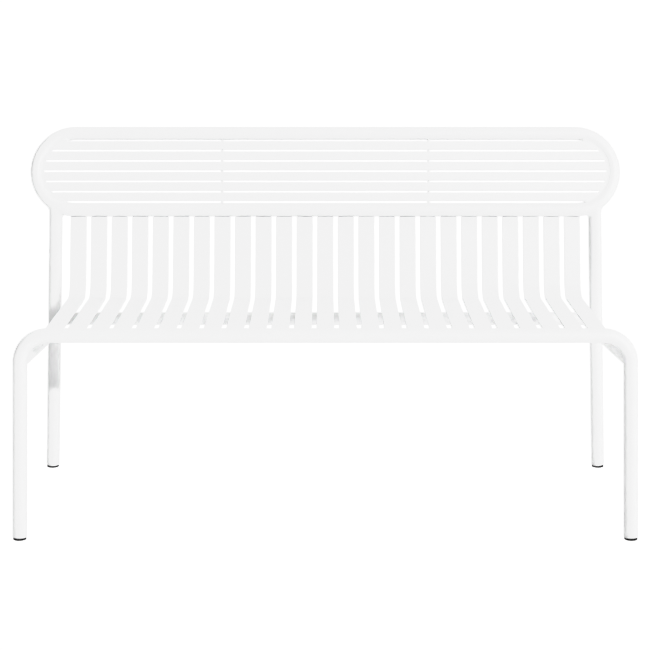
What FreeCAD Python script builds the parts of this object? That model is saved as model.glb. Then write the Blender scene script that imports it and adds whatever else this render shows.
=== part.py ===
import FreeCAD, Part
import math
import os

from FreeCAD import Vector

# Garden bench in welded, powder-coated metal tube and flat bar. Millimetres, +Z up.
# The front faces -Y, and left and right are as seen from the front.
# The origin is on the ground, at the centre of the bench's bounding box.

os.makedirs("parts", exist_ok=True)

# Overall sizes
OVERALL_WIDTH = 1268.0      # across the ends of the back ring, the widest place
OVERALL_DEPTH = 572.0       # front of the front legs to the back of the rear feet
OVERALL_HEIGHT = 776.0      # ground to the top of the back ring
SEAT_HEIGHT = 425.0         # ground to the top of the front rail

# Tube: one size for the whole frame
TUBE_DIAMETER = 28.0
TUBE_WALL = 2.0
FRONT_BEND_RADIUS = 54.0    # axis radius of the two bends of the front frame
COPE_LAND = 1.5             # a coped tube's tips stop this far short of the other tube's axis

# Stance
FRONT_FOOT_INSET = 28.5     # front foot centre to the ring's end, across
FRONT_LEG_SPLAY = 1.4       # degrees that each front leg leans outwards
REAR_FOOT_INSET = 18.9      # rear foot centre to the ring's end, across

# Seat: flat bars that rise at the rear to the back ring
SEAT_SLAT_COUNT = 25
SEAT_SLAT_WIDTH = 34.0
SEAT_SLAT_THICKNESS = 5.0
SEAT_SLAT_END_INSET = 86.6  # outermost slat's outer edge to the ring's end, across
SEAT_SLAT_BEND = 40.0       # inside radius of each slat's bend
SEAT_DEPTH = 383.0          # front rail axis to the corner that the bend rounds
SEAT_DROP = 1.5             # slat tops below the top of the front rail
SEAT_SLOPE = 0.5            # degrees that the seat falls to the rear
SEAT_SLAT_SETBACK = 8.0     # middle of the slats' tops behind the axis of the ring
BACK_LEAN = 14.0            # degrees that the back leans to the rear

# Back: a closed tube ring with level flat bars inside it, on two upright bars
BACK_SLAT_COUNT = 6
BACK_SLAT_WIDTH = 18.0
BACK_SLAT_THICKNESS = 5.0
BACK_SLOT = 4.2             # gap between slats, and between a slat and the ring
BACK_SLAT_SETBACK = 4.0     # front of the slats behind the front of the ring
STRUT_HALF_SPACING = 222.0
STRUT_THICKNESS = 4.0
STRUT_DEPTH = 14.0
SHOULDER_ANGLE = 30.0       # where a rear leg meets the ring's end arc, from its lowest point

# Braces under the seat
SIDE_RAIL_DROP = 50.5       # front end's axis below the front rail's axis
SIDE_RAIL_FALL = 33.0       # rear end's axis below the front end's
CROSSBAR_NESTING = 2.5      # the crossbar's underside below the tops of the side rails' rear ends

# Feet: moulded plugs with a flat sole
PAD_INSET = 1.0             # pad's rim inside the tube's outside
PAD_EDGE = 4.6              # thinnest edge of the pad between tube and ground
PLUG_LENGTH = 20.0
PLUG_RIB_COUNT = 3
PLUG_RIB_WIDTH = 2.5
PLUG_CLEARANCE = 0.1        # ribs to the tube's bore, on the radius
PLUG_RIB_HEIGHT = 1.2
VENT_DIAMETER = 6.0         # gas vents from the closed ring into the rear legs

# Worked out from the sizes above
TUBE_RADIUS = TUBE_DIAMETER / 2
BORE_RADIUS = TUBE_RADIUS - TUBE_WALL
PAD_RADIUS = TUBE_RADIUS - PAD_INSET
FRONT_Y = -OVERALL_DEPTH / 2 + TUBE_RADIUS
RAIL_Z = SEAT_HEIGHT - TUBE_RADIUS
SIDE_RAIL_FRONT_Z = RAIL_Z - SIDE_RAIL_DROP
SIDE_RAIL_REAR_Z = SIDE_RAIL_FRONT_Z - SIDE_RAIL_FALL
CROSSBAR_Z = SIDE_RAIL_REAR_Z + TUBE_DIAMETER - CROSSBAR_NESTING
RING_SPAN = (TUBE_DIAMETER + BACK_SLAT_COUNT * BACK_SLAT_WIDTH
             + (BACK_SLAT_COUNT + 1) * BACK_SLOT)
RING_END_RADIUS = RING_SPAN / 2
RING_HALF_STRAIGHT = OVERALL_WIDTH / 2 - TUBE_RADIUS - RING_END_RADIUS
LEAN = math.radians(BACK_LEAN)
SLOPE = math.radians(SEAT_SLOPE)
SEAT_TOP_Z = SEAT_HEIGHT - SEAT_DROP
HALF_SLAT = SEAT_SLAT_THICKNESS / 2

X_AXIS = Vector(1, 0, 0)
UP = Vector(0, 0, 1)
BACK_UP = Vector(0, math.sin(LEAN), math.cos(LEAN))     # up along the back
BACK_REAR = Vector(0, math.cos(LEAN), -math.sin(LEAN))  # out of the rear of the back
BIG = 3 * max(OVERALL_WIDTH, OVERALL_DEPTH, OVERALL_HEIGHT)


def back_corner():
    """Middle of the slats' thickness where the seat's plane and the back's plane cross."""
    y = FRONT_Y + SEAT_DEPTH
    z = SEAT_TOP_Z - SEAT_DEPTH * math.tan(SLOPE) - HALF_SLAT
    return Vector(0, y, z)


def ring_centre():
    """Centre of the back ring, a little in front of the slats, its top at the overall height."""
    upper_rail_z = OVERALL_HEIGHT - TUBE_RADIUS
    centre_z = upper_rail_z - RING_END_RADIUS * math.cos(LEAN)
    corner = back_corner()
    slats_y = corner.y + (centre_z - corner.z) * math.tan(LEAN)
    return Vector(0, slats_y - SEAT_SLAT_SETBACK / math.cos(LEAN), centre_z)


def back_point(across, up, rear=0.0):
    """A point given across, up and out of the rear of the back, from the ring's centre."""
    return ring_centre() + X_AXIS * across + BACK_UP * up + BACK_REAR * rear


def rod(start, end, radius):
    """A round bar from start to end."""
    along = end - start
    return Part.makeCylinder(radius, along.Length, start, along)


def tube(start, end, radius=TUBE_RADIUS, bore=BORE_RADIUS):
    """A straight tube from start to end, with open ends."""
    return rod(start, end, radius).cut(rod(start, end, bore))


def disc(centre, normal, radius):
    """A round face."""
    return Part.Face(Part.Wire(Part.makeCircle(radius, centre, normal)))


def single_solid(shape, name):
    """The one solid of a shape; a shape in several pieces stops the build."""
    shape = shape.removeSplitter()
    if len(shape.Solids) != 1:
        raise ValueError(f"{name} has {len(shape.Solids)} solids")
    return shape.Solids[0]


def save(name, shape):
    """Check a sub-part and write its STEP file."""
    solid = single_solid(shape, name)
    if not solid.isValid():
        raise ValueError(f"{name} is not a valid solid")
    solid.exportStep(f"parts/{name}.step")


# Front frame: one tube bent twice, with splayed legs

def front_path(side):
    """Foot, lower end of the bend, its middle and its upper end, on one side (-1 or 1)."""
    splay = math.radians(FRONT_LEG_SPLAY)
    turn = math.pi / 2 - splay
    foot_x = OVERALL_WIDTH / 2 - FRONT_FOOT_INSET
    corner_x = foot_x - RAIL_Z * math.tan(splay)
    tangent = FRONT_BEND_RADIUS * math.tan(turn / 2)
    centre_x, centre_z = corner_x - tangent, RAIL_Z - FRONT_BEND_RADIUS
    foot = Vector(side * foot_x, FRONT_Y, 0)
    lower = Vector(side * (corner_x + tangent * math.sin(splay)), FRONT_Y,
                   RAIL_Z - tangent * math.cos(splay))
    middle = Vector(side * (centre_x + FRONT_BEND_RADIUS * math.sin(turn / 2)), FRONT_Y,
                    centre_z + FRONT_BEND_RADIUS * math.cos(turn / 2))
    upper = Vector(side * centre_x, FRONT_Y, RAIL_Z)
    return foot, lower, middle, upper


def front_solid(radius):
    """The front frame's outline as a solid bar of a given radius, from foot end to foot end."""
    left, right = front_path(-1), front_path(1)
    start, end = tube_end(*left[:2]), tube_end(*right[:2])
    path = Part.Wire([
        Part.makeLine(start, left[1]),
        Part.Arc(left[1], left[2], left[3]).toShape(),
        Part.makeLine(left[3], right[3]),
        Part.Arc(right[3], right[2], right[1]).toShape(),
        Part.makeLine(right[1], end),
    ])
    return path.makePipe(disc(start, left[1] - start, radius))


# Rear legs: straight tubes from the ring's shoulders down, back and out to the feet

def rear_foot(side):
    """Where a rear leg's axis meets the ground."""
    y = OVERALL_DEPTH / 2 - PAD_RADIUS
    return Vector(side * (OVERALL_WIDTH / 2 - REAR_FOOT_INSET), y, 0)


def shoulder(side):
    """Where a rear leg's axis meets the ring's axis."""
    angle = math.radians(SHOULDER_ANGLE)
    across = RING_HALF_STRAIGHT + RING_END_RADIUS * math.sin(angle)
    return back_point(side * across, -RING_END_RADIUS * math.cos(angle))


def on_rear_leg(side, z):
    """The point of a rear leg's axis at a height."""
    foot, top = rear_foot(side), shoulder(side)
    return foot + (top - foot) * (z / top.z)


def tube_end(foot, above):
    """Where a leg's tube stops above the ground, so that the pad's thinnest edge is PAD_EDGE."""
    along = (above - foot).normalize()
    tilt = along.getAngle(UP)
    return foot + along * (PAD_EDGE + PAD_RADIUS * math.tan(tilt))


def short_of(point, towards, length):
    """A point moved a length towards another."""
    return point + (towards - point).normalize() * length


# Back ring: two straight rails and two half-circle ends, closed

def ring_solid(outer, bore=0.0):
    """The back ring as a bar or a tube, made of two rails and two half-circle ends."""
    def section(centre, normal):
        face = disc(centre, normal, outer)
        return face.cut(disc(centre, normal, bore)) if bore else face

    length = X_AXIS * (2 * RING_HALF_STRAIGHT)
    pieces = []
    for side, up in ((-1, -RING_END_RADIUS), (1, RING_END_RADIUS)):
        start = back_point(side * RING_HALF_STRAIGHT, up)
        pieces.append(section(start, X_AXIS).extrude(length * -side))
        turn_centre = back_point(side * RING_HALF_STRAIGHT, 0)
        pieces.append(section(start, X_AXIS).revolve(turn_centre, BACK_REAR, 180))
    ring = pieces[0]
    for piece in pieces[1:]:
        ring = ring.fuse(piece)
    return single_solid(ring, "back_ring")


def ring_window():
    """A thick plate in the outline of the ring's axis: what lies inside it lies inside the ring."""
    corners = [back_point(a * RING_HALF_STRAIGHT, b * RING_END_RADIUS, -TUBE_DIAMETER)
               for a, b in ((-1, -1), (1, -1), (1, 1), (-1, 1))]
    ends = [back_point(a * (RING_HALF_STRAIGHT + RING_END_RADIUS), 0, -TUBE_DIAMETER)
            for a in (-1, 1)]
    outline = Part.Wire([
        Part.makeLine(corners[0], corners[1]),
        Part.Arc(corners[1], ends[1], corners[2]).toShape(),
        Part.makeLine(corners[2], corners[3]),
        Part.Arc(corners[3], ends[0], corners[0]).toShape(),
    ])
    return Part.Face(outline).extrude(BACK_REAR * (2 * TUBE_DIAMETER))


def back_block(across, up, rear):
    """A box on the back's own axes, from (low, high) pairs across, up and rear."""
    base = [back_point(a, b, rear[0]) for a, b in
            ((across[0], up[0]), (across[1], up[0]), (across[1], up[1]), (across[0], up[1]))]
    face = Part.Face(Part.makePolygon(base + base[:1]))
    return face.extrude(BACK_REAR * (rear[1] - rear[0]))


# Seat slats: flat bars, nearly level, then bent up along the back

def seat_slat_outline(x):
    """Closed side outline of a seat slat at x, from inside the front rail to the ring's axis."""
    corner, inside = back_corner(), SEAT_SLAT_BEND + HALF_SLAT
    turn = math.pi / 2 - LEAN + SLOPE
    tangent = inside * math.tan(turn / 2)
    to_front = Vector(0, -math.cos(SLOPE), math.sin(SLOPE))
    seat_end = corner + to_front * tangent
    centre = seat_end + Vector(0, math.sin(SLOPE), math.cos(SLOPE)) * inside
    back_end = corner + BACK_UP * tangent
    middle = (corner - centre).normalize()
    front_end = corner + to_front * (SEAT_DEPTH / math.cos(SLOPE))
    top_end = back_point(0, -RING_END_RADIUS, SEAT_SLAT_SETBACK)

    def line(points, offset):
        """The slat's line at an offset from its middle, positive towards the sitter."""
        radius = inside - offset
        a = points[0] + Vector(x, math.sin(SLOPE) * offset, math.cos(SLOPE) * offset)
        b = points[1] + Vector(x, math.sin(SLOPE) * offset, math.cos(SLOPE) * offset)
        m = centre + Vector(x, 0, 0) + middle * radius
        c = points[2] + Vector(x, 0, 0) - BACK_REAR * offset
        d = points[3] + Vector(x, 0, 0) - BACK_REAR * offset
        return a, b, m, c, d

    points = (front_end, seat_end, back_end, top_end)
    upper, lower = line(points, HALF_SLAT), line(points, -HALF_SLAT)
    return Part.Wire([
        Part.makeLine(upper[0], upper[1]),
        Part.Arc(upper[1], upper[2], upper[3]).toShape(),
        Part.makeLine(upper[3], upper[4]),
        Part.makeLine(upper[4], lower[4]),
        Part.makeLine(lower[4], lower[3]),
        Part.Arc(lower[3], lower[2], lower[1]).toShape(),
        Part.makeLine(lower[1], lower[0]),
        Part.makeLine(lower[0], upper[0]),
    ])


def seat_slat(index):
    """The seat slat at an index, counted from the left, before it is coped to the tubes."""
    span = OVERALL_WIDTH - 2 * SEAT_SLAT_END_INSET
    pitch = (span - SEAT_SLAT_WIDTH) / (SEAT_SLAT_COUNT - 1)
    x = -span / 2 + index * pitch
    return Part.Face(seat_slat_outline(x)).extrude(X_AXIS * SEAT_SLAT_WIDTH)


# Feet

def foot_plug(foot, above):
    """A foot: a flat-soled pad on the tube's end, and a ribbed stem inside the tube."""
    end = tube_end(foot, above)
    down = (foot - above).normalize()
    ground = Part.makeBox(BIG, BIG, BIG, Vector(-BIG / 2, -BIG / 2, -BIG))
    pad = rod(end, end + down * (3 * TUBE_DIAMETER), PAD_RADIUS).cut(ground)
    rib_radius = BORE_RADIUS - PLUG_CLEARANCE
    plug = pad.fuse(rod(end, end - down * PLUG_LENGTH, rib_radius - PLUG_RIB_HEIGHT))
    step = PLUG_LENGTH / PLUG_RIB_COUNT
    for index in range(PLUG_RIB_COUNT):
        start = end - down * (index * step + step - PLUG_RIB_WIDTH)
        plug = plug.fuse(rod(start, start - down * PLUG_RIB_WIDTH, rib_radius))
    return plug


def build():
    """Make every sub-part, cope it to its neighbours and write it."""
    front_outer, ring_outer = front_solid(TUBE_RADIUS), ring_solid(TUBE_RADIUS)
    save("front_leg_frame", front_outer.cut(front_solid(BORE_RADIUS)))

    ring = ring_solid(TUBE_RADIUS, BORE_RADIUS)
    legs_outer = {}
    for side, hand in ((-1, "left"), (1, "right")):
        foot, top = rear_foot(side), shoulder(side)
        end = tube_end(foot, top)
        ring = ring.cut(rod(top, short_of(top, foot, TUBE_DIAMETER), VENT_DIAMETER / 2))
        blunt_top = short_of(top, foot, COPE_LAND)
        save(f"rear_leg_{hand}", tube(end, blunt_top).cut(ring_outer))
        save(f"rear_foot_{hand}", foot_plug(foot, top))
        legs_outer[side] = rod(end, top, TUBE_RADIUS)

        front_foot, front_knee = front_path(side)[:2]
        save(f"front_foot_{hand}", foot_plug(front_foot, front_knee))

        up_leg = (SIDE_RAIL_FRONT_Z - front_foot.z) / (front_knee.z - front_foot.z)
        rail_front = front_foot + (front_knee - front_foot) * up_leg
        rail_rear = on_rear_leg(side, SIDE_RAIL_REAR_Z)
        rail = tube(short_of(rail_front, rail_rear, COPE_LAND),
                    short_of(rail_rear, rail_front, COPE_LAND))
        save(f"side_rail_{hand}", rail.cut(front_outer).cut(legs_outer[side]))
    save("back_ring", ring)

    bar_left, bar_right = (on_rear_leg(side, CROSSBAR_Z) for side in (-1, 1))
    crossbar = tube(short_of(bar_left, bar_right, COPE_LAND),
                    short_of(bar_right, bar_left, COPE_LAND))
    save("rear_crossbar", crossbar.cut(legs_outer[-1]).cut(legs_outer[1]))

    for index in range(SEAT_SLAT_COUNT):
        slat = seat_slat(index).cut(front_outer).cut(ring_outer)
        save(f"seat_slat_{index + 1:02d}", slat)

    window = ring_window()
    slat_front = -TUBE_RADIUS + BACK_SLAT_SETBACK
    slat_rear = slat_front + BACK_SLAT_THICKNESS
    half_width = OVERALL_WIDTH / 2
    for index in range(BACK_SLAT_COUNT):
        top = (RING_END_RADIUS - TUBE_RADIUS - BACK_SLOT
               - index * (BACK_SLAT_WIDTH + BACK_SLOT))
        bar = back_block((-half_width, half_width), (top - BACK_SLAT_WIDTH, top),
                         (slat_front, slat_rear))
        save(f"back_slat_{index + 1}", bar.common(window).cut(ring_outer))
    for side, hand in ((-1, "left"), (1, "right")):
        middle, half = side * STRUT_HALF_SPACING, STRUT_THICKNESS / 2
        strut = back_block((middle - half, middle + half),
                           (-RING_END_RADIUS, RING_END_RADIUS),
                           (slat_rear, slat_rear + STRUT_DEPTH))
        save(f"back_strut_{hand}", strut.cut(ring_outer))


build()
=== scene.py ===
"""Garden bench in white powder-coated metal: its visible pieces, finishes, light and camera.

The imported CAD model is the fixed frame. Every metal piece is a bar or a tube carried along a route,
worked out here as a grid of points, with its ends cut to the surface that it is welded to.
"""
import logging
import math
from dataclasses import dataclass, field
from enum import Enum

import bpy
import numpy as np
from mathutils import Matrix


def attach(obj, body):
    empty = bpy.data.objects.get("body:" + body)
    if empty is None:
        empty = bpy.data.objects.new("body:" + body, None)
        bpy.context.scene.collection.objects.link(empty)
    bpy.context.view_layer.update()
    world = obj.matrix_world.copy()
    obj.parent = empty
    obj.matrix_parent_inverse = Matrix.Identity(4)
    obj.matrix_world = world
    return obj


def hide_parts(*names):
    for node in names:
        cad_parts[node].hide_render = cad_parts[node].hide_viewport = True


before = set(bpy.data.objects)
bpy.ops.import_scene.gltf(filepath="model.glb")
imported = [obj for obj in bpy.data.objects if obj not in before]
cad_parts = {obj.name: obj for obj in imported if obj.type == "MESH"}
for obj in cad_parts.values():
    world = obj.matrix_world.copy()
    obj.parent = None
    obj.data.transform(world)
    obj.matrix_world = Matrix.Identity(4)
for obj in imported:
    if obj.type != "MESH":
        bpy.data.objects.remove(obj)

LOG = logging.getLogger("bench")
ROOT = "root"
X_AXIS, Y_AXIS, UP = np.eye(3)
PLAIN_WHITE = (1.0, 1.0, 1.0, 1.0)
LEG_SAMPLE = 0.1        # a height on the straight of a front leg, which gives the leg's direction
SHORT_OF_AXIS = 1.6     # how far a route stops short of the axis of a tube it meets, in tube radii
LANDING_STEPS = 60      # moves towards a tube, each by the distance that is left
FLAT_MARGIN = 0.35      # from an edge's arc to the next point on the flat, in edge radii
SHARP_ANGLE = 50.0      # turns of the skin above this, in degrees, are shaded as edges
WELD_PITCH = 0.0035     # length of one ripple of a weld
WELD_PROUD = 0.00005    # how far a weld's edge stands off the bar
WELD_TRACE = 0.15       # what is left of a hidden weld's size on the near side
WELD_STEPS = 7          # points across a weld's face
WELD_ROOT = 0.3         # how deep a weld's root lies, in leg lengths


class Slot(Enum):
    """The record's material slots."""

    COAT = "white_coat"
    PLASTIC = "black_plastic"


class Hand(Enum):
    """Sides of the bench, as seen from the front."""

    LEFT = -1
    RIGHT = 1

    @property
    def word(self) -> str:
        """The side as node names write it."""
        return self.name.lower()


# ---------------------------------------------------------------- sizes

@dataclass(frozen=True)
class BenchSizes:
    """The bench's driving sizes, in metres and degrees, as the CAD model has them."""

    width: float = 1.268
    depth: float = 0.572
    height: float = 0.776
    seat_height: float = 0.425
    tube_radius: float = 0.014
    tube_wall: float = 0.002
    front_bend: float = 0.054
    front_foot_inset: float = 0.0285
    front_splay: float = 1.4
    rear_foot_inset: float = 0.0189
    seat_slats: int = 25
    seat_slat_width: float = 0.034
    bar_thickness: float = 0.005
    seat_slat_inset: float = 0.0866
    seat_bend: float = 0.040
    seat_depth: float = 0.383
    seat_drop: float = 0.0015
    seat_slope: float = 0.5
    seat_slat_setback: float = 0.008
    lean: float = 14.0
    back_slats: int = 6
    back_slat_width: float = 0.018
    back_slot: float = 0.0042
    back_setback: float = 0.004
    strut_x: float = 0.222
    strut_thickness: float = 0.004
    strut_depth: float = 0.014
    shoulder: float = 30.0
    side_rail_drop: float = 0.0505
    side_rail_fall: float = 0.033
    crossbar_nesting: float = 0.0025
    pad_inset: float = 0.001
    pad_edge: float = 0.0046

    @property
    def bore(self) -> float:
        """Inside radius of the tubes."""
        return self.tube_radius - self.tube_wall

    @property
    def pad_radius(self) -> float:
        """Radius of the feet."""
        return self.tube_radius - self.pad_inset

    @property
    def front_y(self) -> float:
        """Where the front frame's plane lies, from front to back."""
        return -self.depth / 2 + self.tube_radius

    @property
    def rail_z(self) -> float:
        """Height of the front rail's axis."""
        return self.seat_height - self.tube_radius

    @property
    def end_radius(self) -> float:
        """Axis radius of the back ring's ends: half of its bars, slots and tube added up."""
        bars = self.back_slats * self.back_slat_width + (self.back_slats + 1) * self.back_slot
        return self.tube_radius + bars / 2

    @property
    def half_straight(self) -> float:
        """Half the length of the back ring's straight rails."""
        return self.width / 2 - self.tube_radius - self.end_radius

    @property
    def back_up(self) -> np.ndarray:
        """Direction up along the leaning back."""
        lean = math.radians(self.lean)
        return np.array([0.0, math.sin(lean), math.cos(lean)])

    @property
    def back_rear(self) -> np.ndarray:
        """Direction out of the rear of the leaning back."""
        lean = math.radians(self.lean)
        return np.array([0.0, math.cos(lean), -math.sin(lean)])

    @property
    def seat_rear(self) -> np.ndarray:
        """Direction to the rear along the seat."""
        slope = math.radians(self.seat_slope)
        return np.array([0.0, math.cos(slope), -math.sin(slope)])

    @property
    def seat_up(self) -> np.ndarray:
        """Direction square to the seat, upwards."""
        slope = math.radians(self.seat_slope)
        return np.array([0.0, math.sin(slope), math.cos(slope)])

    @property
    def corner(self) -> np.ndarray:
        """Where the middles of the seat's bars would have their corner if they weren't bent.

        Returns:
            The point, with x at 0.
        """
        fall = self.seat_depth * math.tan(math.radians(self.seat_slope))
        z = self.seat_height - self.seat_drop - fall - self.bar_thickness / 2
        return np.array([0.0, self.front_y + self.seat_depth, z])

    @property
    def ring_centre(self) -> np.ndarray:
        """Centre of the back ring, a little in front of the seat's bars, its top at full height.

        Returns:
            The point, with x at 0.
        """
        z = self.height - self.tube_radius - self.end_radius * self.back_up[2]
        bars_y = self.corner[1] + (z - self.corner[2]) * math.tan(math.radians(self.lean))
        return np.array([0.0, bars_y - self.seat_slat_setback / self.back_up[2], z])

    def on_back(self, across: float, up: float, rear: float = 0.0) -> np.ndarray:
        """A point given across, up and out of the rear of the back, from the ring's centre."""
        return self.ring_centre + X_AXIS * across + self.back_up * up + self.back_rear * rear

    def shoulder_point(self, hand: Hand) -> np.ndarray:
        """Where a rear leg's axis meets the back ring's axis.

        Args:
            hand: the leg's side.

        Returns:
            The point.
        """
        angle = math.radians(self.shoulder)
        across = self.half_straight + self.end_radius * math.sin(angle)
        return self.on_back(hand.value * across, -self.end_radius * math.cos(angle))

    def front_foot(self, hand: Hand) -> np.ndarray:
        """Where a front leg's axis meets the ground."""
        return np.array([hand.value * (self.width / 2 - self.front_foot_inset), self.front_y, 0.0])

    def rear_foot(self, hand: Hand) -> np.ndarray:
        """Where a rear leg's axis meets the ground."""
        across = hand.value * (self.width / 2 - self.rear_foot_inset)
        return np.array([across, self.depth / 2 - self.pad_radius, 0.0])

    def on_rear_leg(self, hand: Hand, z: float) -> np.ndarray:
        """The point of a rear leg's axis at a height."""
        foot, top = self.rear_foot(hand), self.shoulder_point(hand)
        return foot + (top - foot) * (z / top[2])

    def on_front_leg(self, hand: Hand, z: float) -> np.ndarray:
        """The point of a front leg's axis at a height below the bend."""
        inwards = -hand.value * z * math.tan(math.radians(self.front_splay))
        return self.front_foot(hand) + UP * z + X_AXIS * inwards

    def tube_end(self, foot: np.ndarray, above: np.ndarray) -> np.ndarray:
        """Where a leg's tube stops, so that the foot below it is pad_edge thick where thinnest.

        Args:
            foot: where the leg's axis meets the ground.
            above: a higher point of that axis.

        Returns:
            The point of the axis at the tube's end.
        """
        along = unit(above - foot)
        tilt = math.acos(along[2])
        return foot + along * (self.pad_edge + self.pad_radius * math.tan(tilt))


# ---------------------------------------------------------------- shapes

def unit(vector: np.ndarray) -> np.ndarray:
    """A vector, or each row of an array of them, scaled to length one."""
    return vector / np.linalg.norm(vector, axis=-1, keepdims=True)


@dataclass(frozen=True)
class Route:
    """A line in space that a section is carried along, lying in one plane.

    Attributes:
        points: the line's points, one a row.
        tangents: the line's direction at each point.
        side: the normal of the line's plane, which is the section's first axis.
        closed: whether the last point runs on to the first.
    """

    points: np.ndarray
    tangents: np.ndarray
    side: np.ndarray
    closed: bool = False

    @staticmethod
    def line(start: np.ndarray, end: np.ndarray, side: np.ndarray, count: int = 2) -> "Route":
        """A straight run of evenly spaced points: start + t (end - start).

        Args:
            start: the first point.
            end: the last point.
            side: the section's first axis.
            count: the number of points.

        Returns:
            The route along the line.
        """
        t = np.linspace(0.0, 1.0, count)[:, None]
        along = unit(end - start)
        return Route(start + t * (end - start), np.tile(along, (count, 1)), side)

    @staticmethod
    def bend(centre: np.ndarray, start: np.ndarray, side: np.ndarray, turn: float,
             count: int) -> "Route":
        """A circular arc about a centre.

        The point at angle a is centre + cos(a) r + sin(a) (side x r), with r the spoke to the start.

        Args:
            centre: the arc's centre.
            start: its first point.
            side: its axis; the arc turns by the right-hand rule about it.
            turn: the whole angle turned, in radians.
            count: the number of points.

        Returns:
            The route along the arc.
        """
        a = np.linspace(0.0, turn, count)[:, None]
        spoke = start - centre
        square = np.cross(side, spoke)
        points = centre + np.cos(a) * spoke + np.sin(a) * square
        tangents = unit(-np.sin(a) * spoke + np.cos(a) * square)
        return Route(points, tangents, side)

    @staticmethod
    def joined(runs: list["Route"], closed: bool = False) -> "Route":
        """One route from several that follow on, with each shared point kept once.

        Args:
            runs: the runs in order, each starting where the one before ends.
            closed: whether the last run ends where the first starts.

        Returns:
            The whole route, on the first run's side.
        """
        points = [runs[0].points] + [run.points[1:] for run in runs[1:]]
        tangents = [runs[0].tangents] + [run.tangents[1:] for run in runs[1:]]
        stop = -1 if closed else None
        return Route(np.concatenate(points)[:stop], np.concatenate(tangents)[:stop],
                     runs[0].side, closed)

    def nearest(self, places: np.ndarray) -> np.ndarray:
        """The nearest point of the route to each place.

        Each straight stretch a to b gives a + t (b - a), with t the place's share along it held
        between 0 and 1, and the closest of these is kept.

        Args:
            places: the places, one a row.

        Returns:
            The nearest points, one a row.
        """
        a = self.points if self.closed else self.points[:-1]
        b = np.roll(self.points, -1, axis=0) if self.closed else self.points[1:]
        run = b - a
        gap = places[:, None, :] - a[None]
        t = np.clip((gap * run).sum(-1) / (run * run).sum(-1), 0.0, 1.0)
        foot = a[None] + t[..., None] * run[None]
        best = np.linalg.norm(places[:, None, :] - foot, axis=-1).argmin(axis=1)
        return foot[np.arange(len(places)), best]


@dataclass(frozen=True)
class Surface:
    """The outside of a round tube: all points at a radius from a route."""

    route: Route
    radius: float

    def landing(self, places: np.ndarray, along: np.ndarray) -> np.ndarray:
        """Where lines from places, all in one direction, first meet the surface.

        Each place moves on by its distance to the surface, again and again, which never
        oversteps and closes in on the meeting point.

        Args:
            places: where the lines start, one a row.
            along: their direction.

        Returns:
            The meeting points, one a row.
        """
        for _ in range(LANDING_STEPS):
            gap = np.linalg.norm(places - self.route.nearest(places), axis=-1) - self.radius
            places = places + gap[:, None] * along
        return places

    def pressed(self, places: np.ndarray) -> np.ndarray:
        """Places moved straight onto the surface."""
        foot = self.route.nearest(places)
        return foot + self.radius * unit(places - foot)


def round_section(radius: float, count: int) -> np.ndarray:
    """A circle as a section: (r cos a, r sin a) at even angles."""
    a = np.linspace(0.0, 2 * math.pi, count, endpoint=False)
    return radius * np.stack([np.cos(a), np.sin(a)], axis=1)


def bar_section(width: float, thickness: float, edge: float, steps: int = 4) -> np.ndarray:
    """A flat bar's section: a rectangle with rolled edges.

    Each corner is an arc about a centre set in by the edge radius. A further point on each flat,
    close to where the arc starts, keeps the flat's shading flat.

    Args:
        width: size along the section's first axis.
        thickness: size along its second axis.
        edge: radius of the rolled edges.
        steps: arc steps at each corner.

    Returns:
        The section's points, turning from the first axis to the second.
    """
    margin = edge * FLAT_MARGIN
    loops = []
    for quarter in range(4):
        a = np.linspace(0.0, math.pi / 2, steps + 1) + quarter * math.pi / 2
        sign_x = 1.0 if quarter in (0, 3) else -1.0
        sign_y = 1.0 if quarter in (0, 1) else -1.0
        centre = np.array([sign_x * (width / 2 - edge), sign_y * (thickness / 2 - edge)])
        arc = centre + edge * np.stack([np.cos(a), np.sin(a)], axis=1)
        lead = np.array([math.sin(a[0]), -math.cos(a[0])]) * margin
        tail = np.array([-math.sin(a[-1]), math.cos(a[-1])]) * margin
        loops.append(np.vstack([arc[0] + lead, arc, arc[-1] + tail]))
    return np.concatenate(loops)


def section_normals(section: np.ndarray) -> np.ndarray:
    """Outward directions of a closed section: each point's neighbours' chord, turned outwards."""
    chord = np.roll(section, -1, axis=0) - np.roll(section, 1, axis=0)
    return unit(np.stack([chord[:, 1], -chord[:, 0]], axis=1))


def placed(route: Route, section: np.ndarray) -> np.ndarray:
    """A section carried along a route: point + x side + y (tangent x side).

    Args:
        route: the route, of n points.
        section: the section, of m points.

    Returns:
        An n by m by 3 grid of points.
    """
    second = np.cross(route.tangents, route.side)
    return (route.points[:, None, :] + section[None, :, :1] * route.side
            + section[None, :, 1:] * second[:, None, :])


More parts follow.
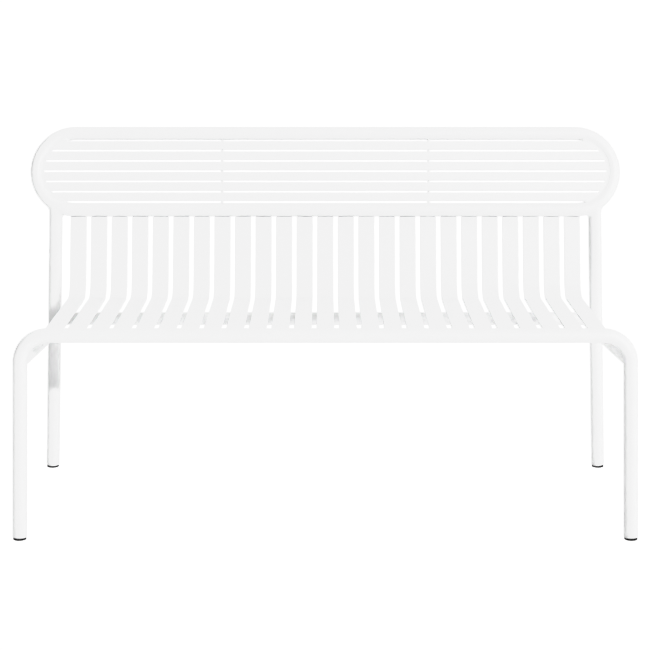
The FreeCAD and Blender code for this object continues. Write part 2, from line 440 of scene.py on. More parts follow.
@dataclass
class Mesh:
    """Points and faces that are being gathered for one piece."""

    points: list[np.ndarray] = field(default_factory=list)
    faces: list[np.ndarray] = field(default_factory=list)
    count: int = 0

    def grid(self, grid: np.ndarray, wrap_rows: bool = False, flip: bool = False) -> np.ndarray:
        """Add a grid of points, closed along its second way, as a skin of quads.

        Args:
            grid: rows of rings, n by m by 3.
            wrap_rows: whether the last ring joins the first.
            flip: whether to turn the faces over.

        Returns:
            The points' numbers in the mesh, n by m.
        """
        rows, columns = grid.shape[:2]
        index = np.arange(rows * columns).reshape(rows, columns) + self.count
        below = np.roll(index, -1, axis=0) if wrap_rows else index[1:]
        above = index if wrap_rows else index[:-1]
        quads = np.stack([above, np.roll(above, -1, axis=1),
                          np.roll(below, -1, axis=1), below], axis=-1).reshape(-1, 4)
        self.points.append(grid.reshape(-1, 3))
        self.faces.append(quads[:, ::-1] if flip else quads)
        self.count += rows * columns
        return index

    def cap(self, ring: np.ndarray, centre: np.ndarray, flip: bool = False) -> None:
        """Close a ring of numbered points with a fan of triangles about a centre.

        Args:
            ring: the points' numbers in the mesh.
            centre: the fan's middle.
            flip: whether to turn the faces over.
        """
        middle = np.full(len(ring), self.count)
        fan = np.stack([ring, np.roll(ring, -1), middle], axis=-1)
        self.points.append(centre.reshape(1, 3))
        self.faces.append(fan[:, ::-1] if flip else fan)
        self.count += 1

    def solid(self, grid: np.ndarray, flip: bool = False) -> None:
        """Add a grid of points as a skin of quads, with its first and last rings closed.

        Args:
            grid: rows of rings, n by m by 3.
            flip: whether to turn the faces over.
        """
        index = self.grid(grid, flip=flip)
        self.cap(index[0], grid[0].mean(axis=0), flip=not flip)
        self.cap(index[-1], grid[-1].mean(axis=0), flip=flip)

    def piece(self, name: str, smooth: bool = True) -> bpy.types.Object:
        """Make the Blender object, in place, shaded smooth except at its sharp edges.

        Args:
            name: the object's name.
            smooth: whether its faces are shaded smooth.

        Returns:
            The object, in the scene.
        """
        data = bpy.data.meshes.new(name)
        faces = [row for block in self.faces for row in block.tolist()]
        data.from_pydata(np.concatenate(self.points).tolist(), [], faces)
        data.validate()
        data.polygons.foreach_set("use_smooth", np.full(len(data.polygons), smooth))
        data.set_sharp_from_angle(angle=math.radians(SHARP_ANGLE))
        data.update()
        made = bpy.data.objects.new(name, data)
        bpy.context.scene.collection.objects.link(made)
        return made


@dataclass(frozen=True)
class Bar:
    """A bar or tube carried along a route, whose ends may be cut to other tubes.

    Attributes:
        route: the middle of the bar; it stops a little short of any tube that an end is cut to.
        section: its outline.
        hollow: its bore's outline, or None for solid bar.
        first: the tube that the route's start is cut to, or None for a square end.
        last: the tube that the route's end is cut to, or None for a square end.
    """

    route: Route
    section: np.ndarray
    hollow: np.ndarray | None = None
    first: Surface | None = None
    last: Surface | None = None

    def rings(self, section: np.ndarray) -> np.ndarray:
        """The section's rings along the bar, with the cut ends' rings added.

        Args:
            section: the outline or the bore.

        Returns:
            A grid of points, one ring a row.
        """
        grid = placed(self.route, section)
        if self.first is not None:
            cut = self.first.landing(grid[0], -self.route.tangents[0])
            grid = np.concatenate([cut[None], grid])
        if self.last is not None:
            cut = self.last.landing(grid[-1], self.route.tangents[-1])
            grid = np.concatenate([grid, cut[None]])
        return grid

    def add_to(self, mesh: Mesh) -> None:
        """Add the bar's closed skin to a mesh.

        Args:
            mesh: the mesh to add it to.
        """
        outer = self.rings(self.section)
        if self.route.closed:
            mesh.grid(outer, wrap_rows=True)
        elif self.hollow is not None:
            inner = self.rings(self.hollow)[::-1]
            mesh.grid(np.concatenate([outer, inner]), wrap_rows=True)
        else:
            mesh.solid(outer)

    def add_welds(self, mesh: Mesh, size: float) -> None:
        """Add the welds at both cut ends, the start's first."""
        self.add_weld(mesh, at_start=True, size=size)
        self.add_weld(mesh, at_start=False, size=size)

    def add_weld(self, mesh: Mesh, at_start: bool, size: float, ripple: float = 0.06,
                 hidden: bool = False) -> None:
        """Add the weld that runs round one cut end.

        Its face is a hollow curve from a to b, (1 - s)^2 a + 2 s (1 - s) c + s^2 b, where c is a
        point of the cut, a lies back along the bar and b lies out on the other tube. Its root
        lies in the metal behind c. Its size swells and shrinks a little along its length.

        Args:
            mesh: the mesh to add it to.
            at_start: whether the weld is at the route's start.
            size: length of each leg of the weld.
            ripple: share by which the size swells and shrinks.
            hidden: whether the weld keeps to the section's far side, where its second number is
                above zero, and all but vanishes on the near side.
        """
        surface = self.first if at_start else self.last
        spot = 0 if at_start else -1
        along = self.route.tangents[spot] * (-1 if at_start else 1)
        second = np.cross(self.route.tangents[spot], self.route.side)
        flat = section_normals(self.section)
        out = flat[:, :1] * self.route.side + flat[:, 1:] * second
        corner = self.rings(self.section)[spot]
        around = np.linalg.norm(corner - np.roll(corner, 1, axis=0), axis=-1).cumsum()
        waves = max(round(around[-1] / WELD_PITCH), 1)
        swell = 1 + ripple * np.sin(2 * math.pi * waves * around / around[-1])
        if hidden:
            swell = swell * np.where(self.section[:, 1] > 0.0, 1.0, WELD_TRACE)
        leg = (size * swell)[:, None]
        back = corner - along * leg + out * WELD_PROUD
        spread = surface.pressed(corner + out * leg)
        s = np.linspace(0.0, 1.0, WELD_STEPS)[:, None, None]
        face = (1 - s) ** 2 * back + 2 * s * (1 - s) * corner + s ** 2 * spread
        root = corner + along * size * WELD_ROOT - out * size * WELD_ROOT
        loop = np.concatenate([face, root[None]])
        mesh.grid(loop, wrap_rows=True, flip=at_start)


# ---------------------------------------------------------------- shaders and finishes

class Expr:
    """A shader socket that Python's operators work on, each adding one Math node."""

    def __init__(self, tree: "Shader", socket: bpy.types.NodeSocket | None) -> None:
        """Wrap an output socket of a tree."""
        self.tree = tree
        self.socket = socket

    def _math(self, operation: str, first: "Expr | float", second: "Expr | float") -> "Expr":
        """A Math node on two values."""
        return self.tree.node("ShaderNodeMath", {"operation": operation}, {0: first, 1: second})

    def __add__(self, other: "Expr | float") -> "Expr":
        """self + other."""
        return self._math("ADD", self, other)

    def __radd__(self, other: float) -> "Expr":
        """other + self."""
        return self._math("ADD", other, self)

    def __sub__(self, other: "Expr | float") -> "Expr":
        """self - other."""
        return self._math("SUBTRACT", self, other)

    def __rsub__(self, other: float) -> "Expr":
        """other - self."""
        return self._math("SUBTRACT", other, self)

    def __mul__(self, other: "Expr | float") -> "Expr":
        """self * other."""
        return self._math("MULTIPLY", self, other)

    def __rmul__(self, other: float) -> "Expr":
        """other * self."""
        return self._math("MULTIPLY", other, self)

    def clamped(self, most: float = 1.0) -> "Expr":
        """The value held between 0 and the most that it may be."""
        return self.tree.node("ShaderNodeClamp", {}, {0: self, "Max": most})


@dataclass(frozen=True)
class Grain:
    """A noise pattern: its bumps a metre, and how many finer layers it has."""

    scale: float
    detail: float


@dataclass(frozen=True)
class Relief:
    """How deep a finish's bumps look, and how it mirrors light."""

    strength: float
    depth: float
    ior: float
    specular: float


class Shader:
    """A node tree that is being written."""

    def __init__(self, owner: bpy.types.ID) -> None:
        """Start an empty tree.

        Args:
            owner: the material or world that the tree belongs to.
        """
        owner.use_nodes = True
        self.nodes = owner.node_tree.nodes
        self.links = owner.node_tree.links
        self.nodes.clear()

    def node(self, kind: str, settings: dict, sockets: dict, output: int | str = 0) -> Expr:
        """Add one node.

        Args:
            kind: the node's type.
            settings: its own settings, such as a Math node's operation, which are set first.
            sockets: input names or numbers, with the value or expression of each.
            output: the output to hand back.

        Returns:
            The chosen output as an expression.
        """
        made = self.nodes.new(kind)
        for name, value in settings.items():
            setattr(made, name, value)
        for name, value in sockets.items():
            if isinstance(value, Expr):
                self.links.new(value.socket, made.inputs[name])
            else:
                made.inputs[name].default_value = value
        socket = made.outputs[output] if len(made.outputs) else None
        return Expr(self, socket)

    def noise(self, where: Expr, grain: Grain) -> Expr:
        """A noise value from 0 to 1, about 0.5."""
        return self.node("ShaderNodeTexNoise", {"normalize": True},
                         {"Vector": where, "Scale": grain.scale, "Detail": grain.detail}, "Fac")

    def blend(self, share: Expr, first: tuple, second: tuple) -> Expr:
        """A colour between two, by a share from 0 to 1."""
        return self.node("ShaderNodeMix", {"data_type": "RGBA"},
                         {0: share, 6: (*first, 1.0), 7: (*second, 1.0)}, 2)

    def surface(self, relief: Relief, colour: Expr, roughness: Expr, height: Expr) -> None:
        """Write a material's surface.

        Args:
            relief: its bumps and its gloss.
            colour: its colour.
            roughness: its roughness.
            height: what its bumps follow.
        """
        bump = self.node("ShaderNodeBump", {}, {
            "Strength": relief.strength, "Distance": relief.depth, "Height": height}, "Normal")
        shaded = self.node("ShaderNodeBsdfPrincipled", {}, {
            "Base Color": colour, "Roughness": roughness, "Normal": bump, "IOR": relief.ior,
            "Specular IOR Level": relief.specular})
        self.node("ShaderNodeOutputMaterial", {}, {"Surface": shaded})


@dataclass(frozen=True)
class PowderCoat:
    """Satin white powder coat: fine orange peel over a slow wave, and a trace of dust.

    The dust's share is dust_cloud cloud + dust_wave wave - dust_from, held between 0 and 1, and
    the height is peel_height peel + wave_height wave.
    """

    colour: tuple[float, float, float] = (0.885, 0.886, 0.887)
    dusty: tuple[float, float, float] = (0.868, 0.868, 0.865)
    peel: Grain = Grain(scale=700.0, detail=2.0)
    wave: Grain = Grain(scale=60.0, detail=3.0)
    cloud: Grain = Grain(scale=6.0, detail=4.0)
    dust_cloud: float = 0.7
    dust_wave: float = 0.3
    dust_from: float = 0.35
    peel_height: float = 0.75
    wave_height: float = 0.6
    relief: Relief = Relief(strength=0.35, depth=0.00008, ior=1.5, specular=0.4)
    roughness: float = 0.42
    wave_roughness: float = 0.10
    peel_roughness: float = 0.06

    def material(self) -> bpy.types.Material:
        """Write the finish as a material.

        Returns:
            The material, named for its slot.
        """
        made = bpy.data.materials.new(Slot.COAT.value)
        shader = Shader(made)
        where = shader.node("ShaderNodeTexCoord", {}, {}, "Object")
        peel = shader.noise(where, self.peel)
        wave = shader.noise(where, self.wave)
        cloud = shader.noise(where, self.cloud)
        dust = (cloud * self.dust_cloud + wave * self.dust_wave - self.dust_from).clamped()
        rough = (self.roughness + (wave - 0.5) * self.wave_roughness
                 + (peel - 0.5) * self.peel_roughness)
        shader.surface(self.relief, shader.blend(dust, self.colour, self.dusty), rough,
                       peel * self.peel_height + wave * self.wave_height)
        return made


@dataclass(frozen=True)
class FootPlastic:
    """Matt black moulded polymer: fine grain, and scuffs that pale it towards the sole.

    The wear is scuff_strength patch (1 - height / scuff_height), held between 0 and 1.
    """

    colour: tuple[float, float, float] = (0.006, 0.006, 0.0065)
    scuffed: tuple[float, float, float] = (0.022, 0.0215, 0.021)
    grain: Grain = Grain(scale=1600.0, detail=2.0)
    patch: Grain = Grain(scale=260.0, detail=4.0)
    scuff_height: float = 0.0022
    scuff_strength: float = 1.6
    patch_height: float = 0.5
    relief: Relief = Relief(strength=0.4, depth=0.00008, ior=1.45, specular=0.3)
    roughness: float = 0.55
    worn_roughness: float = 0.25
    grain_roughness: float = 0.1

    def material(self) -> bpy.types.Material:
        """Write the finish as a material.

        Returns:
            The material, named for its slot.
        """
        made = bpy.data.materials.new(Slot.PLASTIC.value)
        shader = Shader(made)
        where = shader.node("ShaderNodeTexCoord", {}, {}, "Object")
        height = shader.node("ShaderNodeSeparateXYZ", {}, {0: where}, "Z")
        grain = shader.noise(where, self.grain)
        patch = shader.noise(where, self.patch)
        near_sole = (1.0 - height * (1.0 / self.scuff_height)).clamped()
        worn = (near_sole * patch * self.scuff_strength).clamped()
        rough = (self.roughness + worn * self.worn_roughness
                 + (grain - 0.5) * self.grain_roughness)
        shader.surface(self.relief, shader.blend(worn, self.colour, self.scuffed), rough,
                       grain + patch * self.patch_height)
        return made


# ---------------------------------------------------------------- sub-assemblies

@dataclass
class SubAssembly:
    """Part of the bench: it makes its pieces, dresses them and hangs them on the frame."""

    sizes: BenchSizes
    finishes: dict[Slot, bpy.types.Material]

    def settle(self, made: bpy.types.Object, slot: Slot, *nodes: str) -> bpy.types.Object:
        """Dress a piece, let it ride on the frame and stand for its CAD nodes, and report it.

        Args:
            made: the finished piece.
            slot: the record's slot that its finish belongs to.
            nodes: the CAD nodes that it stands for.

        Returns:
            The piece.
        """
        made.data.materials.append(self.finishes[slot])
        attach(made, ROOT)
        if nodes:
            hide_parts(*nodes)
        LOG.info("%s: %d faces, for %s", made.name, len(made.data.polygons), nodes or "no node")
        return made

    def solid(self, name: str, bar: Bar, node: str) -> bpy.types.Object:
        """Make one bar as a piece that stands for one CAD node.

        Args:
            name: the piece's name.
            bar: its shape.
            node: the CAD node.

        Returns:
            The piece.
        """
        mesh = Mesh()
        bar.add_to(mesh)
        return self.settle(mesh.piece(name), Slot.COAT, node)


@dataclass
class TubeFrame(SubAssembly):
    """The welded tubes that stand on the ground: front frame, rear legs and braces."""

    ring: Surface
    facets: int = 48
    weld: float = 0.0035
    shoulder_weld: float = 0.011
    leg_points: int = 6
    bend_points: int = 25
    rail_points: int = 14
    rear_leg_points: int = 8
    brace_points: int = 4

    def tube(self, route: Route, first: Surface | None = None,
             last: Surface | None = None) -> Bar:
        """A round tube along a route."""
        s = self.sizes
        return Bar(route, round_section(s.tube_radius, self.facets),
                   round_section(s.bore, self.facets), first, last)

    def front_route(self) -> Route:
        """The front frame's axis: up one leg, round a bend, along the rail and down again.

        Returns:
            The route, from the left leg's end to the right leg's.
        """
        s = self.sizes
        turn = math.pi / 2 - math.radians(s.front_splay)
        tangent = s.front_bend * math.tan(turn / 2)
        corner_x = abs(s.on_front_leg(Hand.RIGHT, s.rail_z)[0])
        centre_x, centre_z = corner_x - tangent, s.rail_z - s.front_bend
        upwards = [unit(s.on_front_leg(h, LEG_SAMPLE) - s.front_foot(h)) for h in Hand]
        ends = [s.tube_end(s.front_foot(h), s.on_front_leg(h, LEG_SAMPLE)) for h in Hand]
        corners = [s.on_front_leg(h, s.rail_z) for h in Hand]
        bends = [corner - way * tangent for corner, way in zip(corners, upwards)]
        rail = [np.array([h.value * centre_x, s.front_y, s.rail_z]) for h in Hand]
        centres = [np.array([h.value * centre_x, s.front_y, centre_z]) for h in Hand]
        return Route.joined([
            Route.line(ends[0], bends[0], Y_AXIS, self.leg_points),
            Route.bend(centres[0], bends[0], Y_AXIS, turn, self.bend_points),
            Route.line(rail[0], rail[1], Y_AXIS, self.rail_points),
            Route.bend(centres[1], rail[1], Y_AXIS, turn, self.bend_points),
            Route.line(bends[1], ends[1], Y_AXIS, self.leg_points),
        ])

    def span(self, start: np.ndarray, end: np.ndarray, gap: float) -> Route:
        """A nearly level, straight route between two tubes that stops a gap short of their axes.

        Args:
            start: a point of the first tube's axis.
            end: a point of the second tube's axis.
            gap: how far short of each it stops.

        Returns:
            The route.
        """
        along = unit(end - start)
        side = unit(np.cross(along, UP))
        return Route.line(start + along * gap, end - along * gap, side, self.brace_points)

    def build(self) -> Surface:
        """Make the tubes and their welds.

        Returns:
            The front frame's outside, which the seat's bars are cut to.
        """
        s = self.sizes
        gap = s.tube_radius * SHORT_OF_AXIS
        front = Surface(self.front_route(), s.tube_radius)
        self.solid("front_frame_tube", self.tube(front.route), "front_leg_frame")
        welds = Mesh()
        rear_legs = {}
        for hand in Hand:
            foot, top = s.rear_foot(hand), s.shoulder_point(hand)
            end = s.tube_end(foot, top)
            along = unit(top - end)
            side = unit(np.cross(along, Y_AXIS))
            route = Route.line(end, top - along * gap, side, self.rear_leg_points)
            leg = self.tube(route, last=self.ring)
            self.solid(f"rear_leg_tube_{hand.word}", leg, f"rear_leg_{hand.word}")
            leg.add_weld(welds, at_start=False, size=self.shoulder_weld, ripple=0.0)
            rear_legs[hand] = Surface(Route.line(end, top, side), s.tube_radius)
            front_z = s.rail_z - s.side_rail_drop
            rail = self.tube(self.span(s.on_front_leg(hand, front_z),
                                       s.on_rear_leg(hand, front_z - s.side_rail_fall), gap),
                             front, rear_legs[hand])
            self.solid(f"side_rail_tube_{hand.word}", rail, f"side_rail_{hand.word}")
            rail.add_welds(welds, self.weld)
        bar_z = (s.rail_z - s.side_rail_drop - s.side_rail_fall
                 + 2 * s.tube_radius - s.crossbar_nesting)
        ends = [s.on_rear_leg(hand, bar_z) for hand in Hand]
        crossbar = self.tube(self.span(*ends, gap), rear_legs[Hand.LEFT], rear_legs[Hand.RIGHT])
        self.solid("rear_crossbar_tube", crossbar, "rear_crossbar")
        crossbar.add_welds(welds, self.weld)
        self.settle(welds.piece("frame_welds"), Slot.COAT)
        return front


@dataclass
class Backrest(SubAssembly):
    """The closed tube ring with its level bars and the two struts behind them."""

    facets: int = 56
    rail_points: int = 28
    end_points: int = 49
    bar_points: int = 20
    strut_points: int = 8
    bar_reach: float = 0.45         # how far the bars' routes run into the ends, in end radii
    edge: float = 0.0010
    strut_edge: float = 0.0008
    weld: float = 0.0022
    rim_points: int = 73
    rim_angle: float = 50.0         # where the rim weld ends on the tube, turned in from across
    rim_reach: float = 0.0066       # how far it spreads over the bars
    rim_depth: float = 0.8          # how deep it goes, in bar thicknesses
    rim_into_tube: float = 0.001
    rim_behind_touch: float = 0.002
    rim_behind_toe: float = 0.0012
    rim_below: float = 72.0         # how far round the ring's end it runs, downwards
    rim_above: float = 74.5         # and upwards
    rim_undercut: float = 1.06

    def ring_surface(self) -> Surface:
        """The ring's outside: two straight rails and two half-circle ends.

        Returns:
            The surface, which other bars and tubes are cut to.
        """
        s = self.sizes
        corner = {(x, z): s.on_back(x * s.half_straight, z * s.end_radius)
                  for x in (-1, 1) for z in (-1, 1)}
        centres = {x: s.on_back(x * s.half_straight, 0.0) for x in (-1, 1)}
        side = -s.back_rear
        route = Route.joined([
            Route.line(corner[-1, -1], corner[1, -1], side, self.rail_points),
            Route.bend(centres[1], corner[1, -1], side, math.pi, self.end_points),
            Route.line(corner[1, 1], corner[-1, 1], side, self.rail_points),
            Route.bend(centres[-1], corner[-1, 1], side, math.pi, self.end_points),
        ], closed=True)
        return Surface(route, s.tube_radius)

    def build(self, ring: Surface) -> None:
        """Make the ring, its bars, its struts and their welds.

        Args:
            ring: the ring's outside.
        """
        s = self.sizes
        section = round_section(s.tube_radius, self.facets)
        self.solid("back_ring_tube", Bar(ring.route, section), "back_ring")
        welds = Mesh()
        rear = -s.tube_radius + s.back_setback + s.bar_thickness / 2
        level = bar_section(s.bar_thickness, s.back_slat_width, self.edge)
        pitch = s.back_slat_width + s.back_slot
        for index in range(s.back_slats):
            up = ((s.back_slats - 1) / 2 - index) * pitch
            into_end = self.bar_reach * s.end_radius * math.cos(up / s.end_radius)
            reach = s.half_straight + into_end
            route = Route.line(s.on_back(-reach, up, rear), s.on_back(reach, up, rear),
                               s.back_rear, self.bar_points)
            bar = Bar(route, level, None, ring, ring)
            self.solid(f"back_bar_{index + 1}", bar, f"back_slat_{index + 1}")
            bar.add_welds(welds, self.weld)
        upright = bar_section(s.strut_thickness, s.strut_depth, self.strut_edge)
        strut_rear = rear + (s.bar_thickness + s.strut_depth) / 2
        for hand in Hand:
            reach = s.end_radius - SHORT_OF_AXIS * s.tube_radius
            across = hand.value * s.strut_x
            route = Route.line(s.on_back(across, -reach, strut_rear),
                               s.on_back(across, reach, strut_rear), X_AXIS, self.strut_points)
            strut = Bar(route, upright, None, ring, ring)
            self.solid(f"back_strut_bar_{hand.word}", strut, f"back_strut_{hand.word}")
            strut.add_welds(welds, self.weld)
        self.settle(welds.piece("back_welds"), Slot.COAT)
        rims = Mesh()
        for hand in Hand:
            self.add_rim_weld(rims, hand)
        self.settle(rims.piece("back_rim_welds"), Slot.COAT)

    def add_rim_weld(self, mesh: Mesh, hand: Hand) -> None:
        """Add the smoothed weld between the bars' ends and one end of the ring.

        It closes the ends of the slots. At angle a its section stands at radius r and depth d,
        centre + r (cos a across + sin a up) + d rear. The section's face is a hollow curve from
        the front of the bars to the front of the tube, and the rest lies in the metal. Behind
        the face the angle is stretched by rim_undercut, so that the weld's two ends lean away.

        Args:
            mesh: the mesh to add it to.
            hand: the ring's end.
        """
        s = self.sizes
        front = -s.tube_radius + s.back_setback
        tube_x = s.end_radius
        slope = math.radians(self.rim_angle)
        touch = np.array([tube_x - s.tube_radius * math.cos(slope),
                          -s.tube_radius * math.sin(slope)])
        meeting = np.array([tube_x - math.sqrt(s.tube_radius ** 2 - front ** 2), front])
        toe = np.array([meeting[0] - self.rim_reach, front - WELD_PROUD])
        t = np.linspace(0.0, 1.0, WELD_STEPS)[:, None]
        face = (1 - t) ** 2 * toe + 2 * t * (1 - t) * meeting + t ** 2 * touch
        back = front + s.bar_thickness * self.rim_depth
        inside = np.array([[touch[0] + self.rim_into_tube, touch[1] + self.rim_behind_touch],
                           [meeting[0] + self.rim_into_tube, back],
                           [toe[0] + self.rim_behind_toe, back]])
        section = np.concatenate([face, inside])
        low, high = math.radians(self.rim_below), math.radians(self.rim_above)
        undercut = np.where(np.arange(len(section)) < len(face), 1.0, self.rim_undercut)
        a = np.linspace(-low, high, self.rim_points)[:, None, None] * undercut[None, :, None]
        radius, depth = section[None, :, :1], section[None, :, 1:]
        across = X_AXIS * hand.value
        centre = s.on_back(hand.value * s.half_straight, 0.0)
        grid = centre + radius * (np.cos(a) * across + np.sin(a) * s.back_up) + depth * s.back_rear
        mesh.solid(grid, flip=hand is Hand.LEFT)


@dataclass
class Seat(SubAssembly):
    """The flat bars that run back from the front rail and bend up to the ring."""

    edge: float = 0.0012
    weld: float = 0.0024
    short: float = 1.5              # how far the routes stop short of a tube's axis, in its radii
    flat_points: int = 6
    bend_points: int = 19
    upright_points: int = 4

    def route(self, x: float) -> Route:
        """The middle of a seat bar: back along the seat, round the bend, up along the back.

        Args:
            x: where the bar lies across the seat.

        Returns:
            The route, which stops short tube radii from the axes of the rail and the ring.
        """
        s = self.sizes
        radius = s.seat_bend + s.bar_thickness / 2
        turn = math.pi / 2 - math.radians(s.lean) + math.radians(s.seat_slope)
        tangent = radius * math.tan(turn / 2)
        corner = s.corner + X_AXIS * x
        flat_end = corner - s.seat_rear * tangent
        centre = flat_end + s.seat_up * radius
        start = corner - s.seat_rear * (s.seat_depth - self.short * s.tube_radius)
        top = s.on_back(x, -s.end_radius - self.short * s.tube_radius, s.seat_slat_setback)
        bend_end = corner + s.back_up * tangent
        return Route.joined([
            Route.line(start, flat_end, X_AXIS, self.flat_points),
            Route.bend(centre, flat_end, X_AXIS, turn, self.bend_points),
            Route.line(bend_end, top, X_AXIS, self.upright_points),
        ])

    def build(self, front: Surface, ring: Surface) -> None:
        """Make the seat's bars and the welds at their two ends.

        Args:
            front: the front frame's outside.
            ring: the back ring's outside.
        """
        s = self.sizes
        span = s.width - 2 * s.seat_slat_inset - s.seat_slat_width
        section = bar_section(s.seat_slat_width, s.bar_thickness, self.edge)
        rail_welds, ring_welds = Mesh(), Mesh()
        for index, x in enumerate(np.linspace(-span / 2, span / 2, s.seat_slats), start=1):
            bar = Bar(self.route(float(x)), section, None, front, ring)
            self.solid(f"seat_bar_{index:02d}", bar, f"seat_slat_{index:02d}")
            bar.add_weld(rail_welds, at_start=True, size=self.weld, hidden=True)
            bar.add_weld(ring_welds, at_start=False, size=self.weld, hidden=True)
        self.settle(rail_welds.piece("seat_rail_welds"), Slot.COAT)
        self.settle(ring_welds.piece("seat_ring_welds"), Slot.COAT)


@dataclass
class Feet(SubAssembly):
    """Moulded plugs: a flat-soled pad below each tube and a ribbed stem inside it."""

    facets: int = 64
    stem_length: float = 0.020
    ribs: int = 3
    rib_width: float = 0.0025
    rib_height: float = 0.0012
    rib_ramp: float = 0.4           # the part of a rib's width that slopes
    tip: float = 0.86               # the stem's tip, in radii of its core
    clearance: float = 0.0001
    round_over: float = 0.0008
    round_points: int = 5
    sole_ring: float = 0.5          # a ring of points inside the sole, in pad radii

    def outline(self) -> tuple[np.ndarray, np.ndarray]:
        """The turned outline of a foot above its sole, from the stem's tip to the pad's rim.

        Returns:
            Heights above the tube's end, and the radius at each.
        """
        s = self.sizes
        rib = s.bore - self.clearance
        core = rib - self.rib_height
        step = self.stem_length / self.ribs
        heights, radii = [self.stem_length], [core * self.tip]
        for index in reversed(range(self.ribs)):
            top = (index + 1) * step
            below = top - self.rib_width
            heights += [top, top - self.rib_width * self.rib_ramp, below, below]
            radii += [core, rib, rib, core]
        bevel = self.round_over
        a = np.linspace(0.0, math.pi / 2, self.round_points)
        heights += [0.0, 0.0, *(bevel * (np.cos(a) - 1.0))]
        radii += [core, s.pad_radius - 2 * bevel, *(s.pad_radius - bevel + bevel * np.sin(a))]
        return np.array(heights), np.array(radii)

    def plug(self, name: str, node: str, foot: np.ndarray, above: np.ndarray) -> None:
        """Make one foot: a turned stem and pad, whose side runs down to a flat sole.

        A point at angle a, radius r and height h is end + h axis + r (cos a u + sin a v). The
        lower rings slide along the axis until they lie at the sole's own height.

        Args:
            name: the piece's name.
            node: the CAD node that it stands for.
            foot: where the leg's axis meets the ground.
            above: a higher point of that axis.
        """
        s = self.sizes
        axis = unit(above - foot)
        end = s.tube_end(foot, above)
        u = unit(np.cross(axis, Y_AXIS))
        v = np.cross(axis, u)
        a = np.linspace(0.0, 2 * math.pi, self.facets, endpoint=False)
        spoke = np.cos(a)[:, None] * u + np.sin(a)[:, None] * v
        heights, radii = self.outline()
        turned = end + heights[:, None, None] * axis + radii[:, None, None] * spoke
        bevel = self.round_over
        b = np.linspace(0.0, math.pi / 2, self.round_points)
        rounded = s.pad_radius - bevel + bevel * np.cos(b)
        sole_radii = np.append(rounded, s.pad_radius * self.sole_ring)
        sole_z = np.append(bevel * (1.0 - np.sin(b)), 0.0)
        lower = end + sole_radii[:, None, None] * spoke
        drop = (lower[..., 2] - sole_z[:, None]) / axis[2]
        lower = lower - drop[..., None] * axis
        mesh = Mesh()
        mesh.solid(np.concatenate([turned, lower]), flip=True)
        self.settle(mesh.piece(name), Slot.PLASTIC, node)

    def build(self) -> None:
        """Make the four feet."""
        s = self.sizes
        for hand in Hand:
            self.plug(f"front_foot_plug_{hand.word}", f"front_foot_{hand.word}",
                      s.front_foot(hand), s.on_front_leg(hand, LEG_SAMPLE))
            self.plug(f"rear_foot_plug_{hand.word}", f"rear_foot_{hand.word}",
                      s.rear_foot(hand), s.shoulder_point(hand))


# ---------------------------------------------------------------- studio

@dataclass(frozen=True)
class Glow:
    """A part of the sky that is brighter, or dimmer, than the rest.

    Attributes:
        way: the direction that it lies in.
        tightness: 1 for a wide glow, and each step more squares its shape.
        strength: how much light it adds at its middle, or takes away.
    """

    way: tuple[float, float, float]
    tightness: int
    strength: float

    def light(self, shader: Shader, way: Expr) -> Expr:
        """The light that it adds along a direction: strength times a power of their cosine.

        Args:
            shader: the world's tree.
            way: the direction.

        Returns:
            The added light.
        """
        facing = shader.node("ShaderNodeVectorMath", {"operation": "DOT_PRODUCT"},
                             {0: way, 1: self.way}, "Value").clamped()
        for _ in range(self.tightness - 1):
            facing = facing * facing
        return self.strength * facing


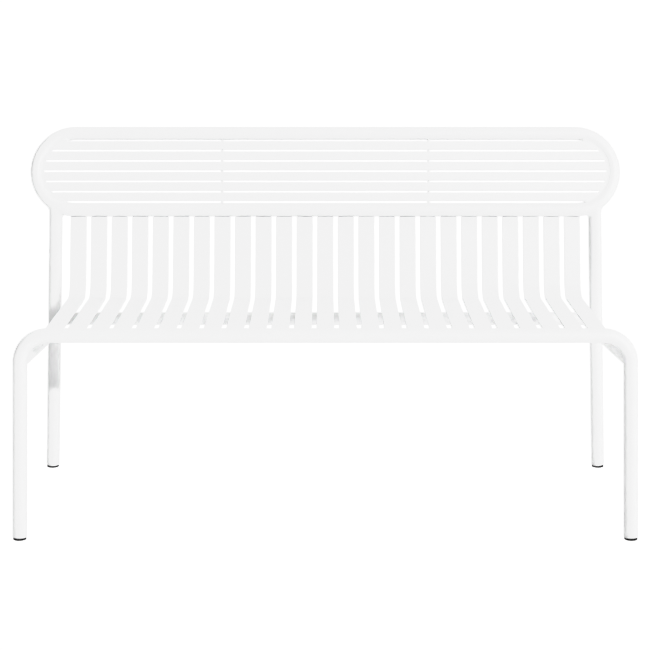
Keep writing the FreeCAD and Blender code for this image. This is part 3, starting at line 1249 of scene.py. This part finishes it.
@dataclass(frozen=True)
class Studio:
    """A white studio: pale floor, soft light all round, and a firmer light from the front right."""

    eye: tuple[float, float, float] = (-0.0007, -3.985, 1.1605)
    tilt: float = 8.8
    lens: float = 107.49
    shift: float = -0.12
    white: float = 1.35
    white_level: float = 1.3
    tones: tuple[tuple[float, float], ...] = (
        (0.30, 0.20), (0.50, 0.38), (0.70, 0.58), (0.80, 0.752), (0.90, 0.879), (1.00, 0.893))
    view_limit: float = 200.0
    floor_reach: float = 30.0
    floor_facets: int = 48
    floor_middle: float = 0.1
    floor_glow: float = 0.107
    paper: Grain = Grain(scale=3.0, detail=3.0)
    sky: float = 1.153
    sky_limit: float = 2.0
    glows: tuple[Glow, ...] = (
        Glow((0.0, 0.0, 1.0), 1, 0.02),
        Glow((0.0, -1.0, 0.0), 2, -1.04),
        Glow((1.0, 0.0, 0.0), 2, -0.34),
        Glow((-1.0, 0.0, 0.0), 2, -0.52),
        Glow((-0.90, 0.43, 0.0), 3, -0.45),
    )
    key_place: tuple[float, float, float] = (12.28, -25.17, 10.75)
    key_power: float = 4200.0
    key_length: float = 5.2
    key_width: float = 0.5

    def exposure(self) -> None:
        """Set the view: shadows stay deep, and the whites are held close together.

        Tones gives pairs of light and the brightness that it is shown with; light of white_level
        and more is shown as plain white.
        """
        view = bpy.context.scene.view_settings
        view.view_transform = "Standard"
        view.look = "None"
        view.use_curve_mapping = True
        mapping = view.curve_mapping
        mapping.white_level = (self.white_level,) * 3
        all_colours = mapping.curves[3]
        for light, shown in self.tones:
            all_colours.points.new(light / self.white_level, shown)
        for point in all_colours.points:
            point.handle_type = "AUTO_CLAMPED"
        mapping.update()

    def camera(self) -> None:
        """Stand the camera in front of the bench, looking slightly down."""
        data = bpy.data.cameras.new("camera")
        data.lens = self.lens
        data.shift_y = self.shift
        data.clip_end = self.view_limit
        made = bpy.data.objects.new("camera", data)
        bpy.context.scene.collection.objects.link(made)
        made.location = self.eye
        made.rotation_euler = (math.radians(90.0 - self.tilt), 0.0, 0.0)
        bpy.context.scene.camera = made

    def floor(self) -> None:
        """Lay a large pale floor that glows a little, as a lit white sweep does."""
        mesh = Mesh()
        a = np.linspace(0.0, 2 * math.pi, self.floor_facets, endpoint=False)
        ring = self.floor_reach * np.stack([np.cos(a), np.sin(a), 0 * a], axis=1)
        index = mesh.grid(np.stack([ring, ring * self.floor_middle]))
        mesh.cap(index[-1], np.zeros(3))
        floor = mesh.piece("floor", smooth=False)
        finish = bpy.data.materials.new("floor_white")
        shader = Shader(finish)
        where = shader.node("ShaderNodeTexCoord", {}, {}, "Object")
        paper = shader.noise(where, self.paper)
        tone = shader.blend(paper, (0.99, 0.99, 0.99), (1.0, 1.0, 1.0))
        plain = shader.node("ShaderNodeEmission", {}, {"Color": tone, "Strength": self.white})
        matt = shader.node("ShaderNodeBsdfPrincipled", {}, {
            "Base Color": shader.blend(paper, (0.90, 0.90, 0.90), (0.92, 0.92, 0.92)),
            "Roughness": 1.0, "Specular IOR Level": 0.0,
            "Emission Color": PLAIN_WHITE, "Emission Strength": self.floor_glow})
        seen = shader.node("ShaderNodeLightPath", {}, {}, "Is Camera Ray")
        mixed = shader.node("ShaderNodeMixShader", {}, {0: seen, 1: matt, 2: plain})
        shader.node("ShaderNodeOutputMaterial", {}, {"Surface": mixed})
        floor.data.materials.append(finish)

    def world(self) -> None:
        """White all round: plain to the eye, and as light dimmer from the front and the sides."""
        world = bpy.data.worlds.new("studio")
        bpy.context.scene.world = world
        shader = Shader(world)
        way = shader.node("ShaderNodeTexCoord", {}, {}, "Generated")
        light = sum((glow.light(shader, way) for glow in self.glows), start=self.sky)
        lighting = shader.node("ShaderNodeBackground", {}, {
            "Color": PLAIN_WHITE, "Strength": light.clamped(self.sky_limit)})
        plain = shader.node("ShaderNodeBackground", {}, {
            "Color": PLAIN_WHITE, "Strength": self.white})
        seen = shader.node("ShaderNodeLightPath", {}, {}, "Is Camera Ray")
        mixed = shader.node("ShaderNodeMixShader", {}, {0: seen, 1: lighting, 2: plain})
        shader.node("ShaderNodeOutputWorld", {}, {"Surface": mixed})

    def key(self) -> None:
        """Hang the key light far off to the front right: a long level strip, parallel to the bench."""
        data = bpy.data.lights.new("key", "AREA")
        data.shape = "RECTANGLE"
        data.size, data.size_y = self.key_length, self.key_width
        data.energy = self.key_power
        made = bpy.data.objects.new("key", data)
        bpy.context.scene.collection.objects.link(made)
        made.location = self.key_place
        made.rotation_euler = (math.atan2(-self.key_place[1], self.key_place[2]), 0.0, 0.0)
        made.visible_camera = False

    def build(self) -> None:
        """Set up the whole studio."""
        self.exposure()
        self.camera()
        self.floor()
        self.world()
        self.key()


def main() -> None:
    """Build the studio and the bench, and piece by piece."""
    logging.basicConfig(level=logging.INFO, format="%(name)s: %(message)s")
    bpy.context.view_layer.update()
    Studio().build()
    sizes = BenchSizes()
    finishes = {Slot.COAT: PowderCoat().material(), Slot.PLASTIC: FootPlastic().material()}
    back = Backrest(sizes, finishes)
    ring = back.ring_surface()
    back.build(ring)
    front = TubeFrame(sizes, finishes, ring).build()
    Seat(sizes, finishes).build(front, ring)
    Feet(sizes, finishes).build()


if __name__ == "__main__":
    main()
